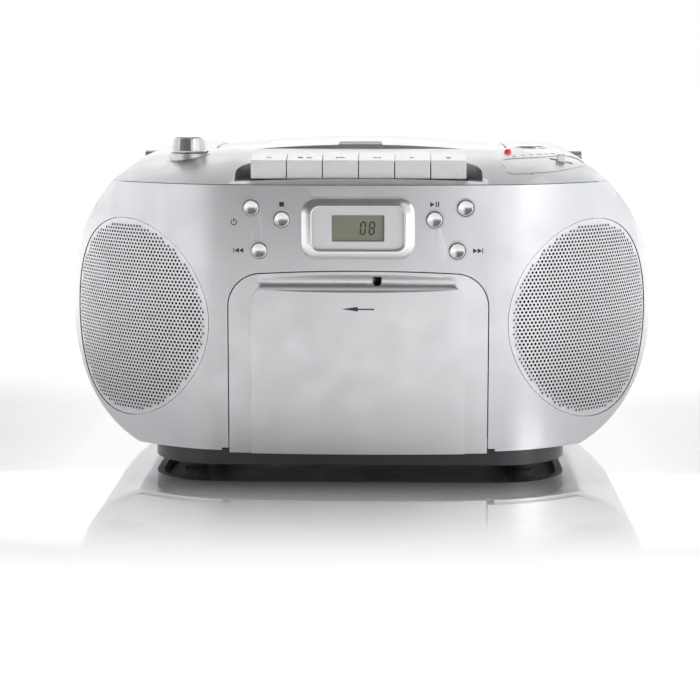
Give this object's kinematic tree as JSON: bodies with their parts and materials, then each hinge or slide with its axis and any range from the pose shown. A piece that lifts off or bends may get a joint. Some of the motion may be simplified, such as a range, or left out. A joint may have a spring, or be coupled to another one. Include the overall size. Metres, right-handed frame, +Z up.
{
  "type": "portable cassette, disc and radio player",
  "caption": "Portable silver stereo with a front cassette door, piano keys, top disc lid, round speakers, small display, folding handle and aerial.",
  "frame": {"origin": "on the standing surface, under the middle of the cabinet's box", "axes": "+X to the right seen from the front, +Y to the back, +Z up"},
  "size_m": [0.3488, 0.2404, 0.188],
  "materials": {
    "silver_case": "satin metallic silver moulded plastic",
    "silver_gloss": "bright silver painted plastic",
    "silver_panel": "brushed-look silver paint",
    "grille_metal": "perforated, silver paint",
    "black_plastic": "matt black",
    "cone_paper": "pressed paper cone",
    "rubber": "matt",
    "lcd": "grey-green liquid crystal",
    "led_red": "clear red",
    "steel": "bright steel",
    "chrome": "polished",
    "brass": "turned",
    "circuit": "green circuit board",
    "white_plastic": "white moulded plastic"
  },
  "bodies": {
    "cabinet": {"front_cabinet": "silver_case", "rear_cabinet": "silver_case", "top_cover": "silver_case", "base_plinth": "silver_case", "rubber_feet": "rubber", "left_grille": "grille_metal", "right_grille": "grille_metal", "left_speaker": "cone_paper", "right_speaker": "cone_paper", "display_bezel": "silver_gloss", "display_panel": "silver_panel", "lcd_module": "lcd", "power_led": "led_red", "button_board": "circuit", "deck_chassis": "steel", "tape_head": "steel", "deck_motor": "steel", "drive_belt": "rubber", "key_shaft": "steel", "cd_well": "black_plastic", "cd_motor": "steel", "sled_rails": "steel", "volume_control": "steel", "handle_pins": "steel", "battery_tray": "black_plastic", "mains_inlet": "black_plastic", "case_screws": "steel", "main_board": "circuit", "power_transformer": "steel", "aerial_pin": "chrome"},
    "door": {"cassette_door": "silver_case", "cassette_holder": "black_plastic"},
    "lid": {"cd_lid": "silver_gloss"},
    "clamp": {"disc_clamp": "black_plastic"},
    "turntable": {"cd_turntable": "black_plastic"},
    "sled": {"laser_sled": "black_plastic"},
    "flywheel": {"capstan_flywheel": "steel"},
    "pulley": {"motor_pulley": "brass"},
    "pinch": {"pinch_roller": "rubber"},
    "supply_reel": {"supply_spindle": "white_plastic"},
    "takeup_reel": {"takeup_spindle": "white_plastic"},
    "volume": {"volume_knob": "silver_gloss"},
    "tuning": {"tuning_knob": "silver_gloss"},
    "slider": {"function_slider": "silver_gloss"},
    "handle": {"handle": "silver_case"},
    "battery_cover": {"battery_door": "silver_case"},
    "aerial": {"aerial_rod": "chrome"},
    "aerial_tip": {"aerial_tip": "chrome"},
    "pause_key_body": {"pause_key": "silver_gloss"},
    "stop_eject_key_body": {"stop_eject_key": "silver_gloss"},
    "fast_forward_key_body": {"fast_forward_key": "silver_gloss"},
    "rewind_key_body": {"rewind_key": "silver_gloss"},
    "play_key_body": {"play_key": "silver_gloss"},
    "record_key_body": {"record_key": "silver_gloss"},
    "power_button_body": {"power_button": "silver_gloss"},
    "cd_stop_button_body": {"cd_stop_button": "silver_gloss"},
    "back_button_body": {"back_button": "silver_gloss"},
    "cd_play_button_body": {"cd_play_button": "silver_gloss"},
    "program_button_body": {"program_button": "silver_gloss"},
    "next_button_body": {"next_button": "silver_gloss"}
  },
  "joints": [
    {"name": "door_hinge", "type": "hinge", "parent": "cabinet", "child": "door", "pos_m": [0, -0.1102, 0.0205], "axis": [1, 0, 0], "range_deg": [0, 32]},
    {"name": "lid_hinge", "type": "hinge", "parent": "cabinet", "child": "lid", "pos_m": [0, 0.078, 0.1738], "axis": [-1, 0, 0], "range_deg": [0, 60]},
    {"name": "clamp_spin", "type": "hinge", "parent": "lid", "child": "clamp", "pos_m": [0, 0.01, 0.173], "axis": [0, 0, 1], "continuous": true},
    {"name": "turntable_spin", "type": "hinge", "parent": "cabinet", "child": "turntable", "pos_m": [0, 0.01, 0.168], "axis": [0, 0, 1], "continuous": true},
    {"name": "sled_slide", "type": "slide", "parent": "cabinet", "child": "sled", "axis": [0, -1, 0], "range_m": [0, 0.024]},
    {"name": "flywheel_spin", "type": "hinge", "parent": "cabinet", "child": "flywheel", "pos_m": [0.024, -0.084, 0.094], "axis": [0, 1, 0], "continuous": true},
    {"name": "pulley_spin", "type": "hinge", "parent": "cabinet", "child": "pulley", "pos_m": [-0.032, -0.084, 0.094], "axis": [0, 1, 0], "continuous": true},
    {"name": "pinch_spin", "type": "hinge", "parent": "cabinet", "child": "pinch", "pos_m": [0.024, -0.102, 0.1002], "axis": [0, 1, 0], "continuous": true},
    {"name": "supply_spin", "type": "hinge", "parent": "cabinet", "child": "supply_reel", "pos_m": [-0.02125, -0.098, 0.066], "axis": [0, 1, 0], "continuous": true},
    {"name": "takeup_spin", "type": "hinge", "parent": "cabinet", "child": "takeup_reel", "pos_m": [0.02125, -0.098, 0.066], "axis": [0, 1, 0], "continuous": true},
    {"name": "volume_turn", "type": "hinge", "parent": "cabinet", "child": "volume", "pos_m": [-0.0985, -0.06, 0.182], "axis": [0, 0, 1], "range_deg": [-150, 150]},
    {"name": "tuning_turn", "type": "hinge", "parent": "cabinet", "child": "tuning", "pos_m": [0.1, -0.02, 0.178], "axis": [0, 0, 1], "range_deg": [-150, 150]},
    {"name": "function_slide", "type": "slide", "parent": "cabinet", "child": "slider", "axis": [1, 0, 0], "range_m": [-0.003, 0.003]},
    {"name": "handle_hinge", "type": "hinge", "parent": "cabinet", "child": "handle", "pos_m": [0, 0.027, 0.168], "axis": [1, 0, 0], "range_deg": [0, 90]},
    {"name": "battery_hinge", "type": "hinge", "parent": "cabinet", "child": "battery_cover", "pos_m": [-0.049, 0.11895, 0.03575], "axis": [-1, 0, 0], "range_deg": [0, 80]},
    {"name": "aerial_hinge", "type": "hinge", "parent": "cabinet", "child": "aerial", "pos_m": [0.145, 0.1158, 0.13], "axis": [0, 1, 0], "range_deg": [0, 90]},
    {"name": "aerial_extend", "type": "slide", "parent": "aerial", "child": "aerial_tip", "axis": [-1, 0, 0], "range_m": [0, 0.12]},
    {"name": "pause_press", "type": "hinge", "parent": "cabinet", "child": "pause_key_body", "pos_m": [-0.04975, -0.078, 0.158], "axis": [1, 0, 0], "range_deg": [0, 6], "stiffness_Nm_per_rad": 1.5, "springref_deg": -2.86},
    {"name": "stop_eject_press", "type": "hinge", "parent": "cabinet", "child": "stop_eject_key_body", "pos_m": [-0.02985, -0.078, 0.158], "axis": [1, 0, 0], "range_deg": [0, 6], "stiffness_Nm_per_rad": 1.5, "springref_deg": -2.86},
    {"name": "fast_forward_press", "type": "hinge", "parent": "cabinet", "child": "fast_forward_key_body", "pos_m": [-0.00995, -0.078, 0.158], "axis": [1, 0, 0], "range_deg": [0, 6], "stiffness_Nm_per_rad": 1.5, "springref_deg": -2.86},
    {"name": "rewind_press", "type": "hinge", "parent": "cabinet", "child": "rewind_key_body", "pos_m": [0.00995, -0.078, 0.158], "axis": [1, 0, 0], "range_deg": [0, 6], "stiffness_Nm_per_rad": 1.5, "springref_deg": -2.86},
    {"name": "play_press", "type": "hinge", "parent": "cabinet", "child": "play_key_body", "pos_m": [0.02985, -0.078, 0.158], "axis": [1, 0, 0], "range_deg": [0, 6], "stiffness_Nm_per_rad": 1.5, "springref_deg": -2.86},
    {"name": "record_press", "type": "hinge", "parent": "cabinet", "child": "record_key_body", "pos_m": [0.04975, -0.078, 0.158], "axis": [1, 0, 0], "range_deg": [0, 6], "stiffness_Nm_per_rad": 1.5, "springref_deg": -2.86},
    {"name": "power_push", "type": "slide", "parent": "cabinet", "child": "power_button_body", "axis": [0, 1, 0], "range_m": [0, 0.0012], "stiffness_N_per_m": 400, "springref_m": -0.0005},
    {"name": "cd_stop_push", "type": "slide", "parent": "cabinet", "child": "cd_stop_button_body", "axis": [0, 1, 0], "range_m": [0, 0.0012], "stiffness_N_per_m": 400, "springref_m": -0.0005},
    {"name": "back_push", "type": "slide", "parent": "cabinet", "child": "back_button_body", "axis": [0, 1, 0], "range_m": [0, 0.0012], "stiffness_N_per_m": 400, "springref_m": -0.0005},
    {"name": "cd_play_push", "type": "slide", "parent": "cabinet", "child": "cd_play_button_body", "axis": [0, 1, 0], "range_m": [0, 0.0012], "stiffness_N_per_m": 400, "springref_m": -0.0005},
    {"name": "program_push", "type": "slide", "parent": "cabinet", "child": "program_button_body", "axis": [0, 1, 0], "range_m": [0, 0.0012], "stiffness_N_per_m": 400, "springref_m": -0.0005},
    {"name": "next_push", "type": "slide", "parent": "cabinet", "child": "next_button_body", "axis": [0, 1, 0], "range_m": [0, 0.0012], "stiffness_N_per_m": 400, "springref_m": -0.0005}
  ],
  "couplings": [
    {"joint": "pulley_spin", "follows": "flywheel_spin", "ratio": 5.0541}
  ]
}
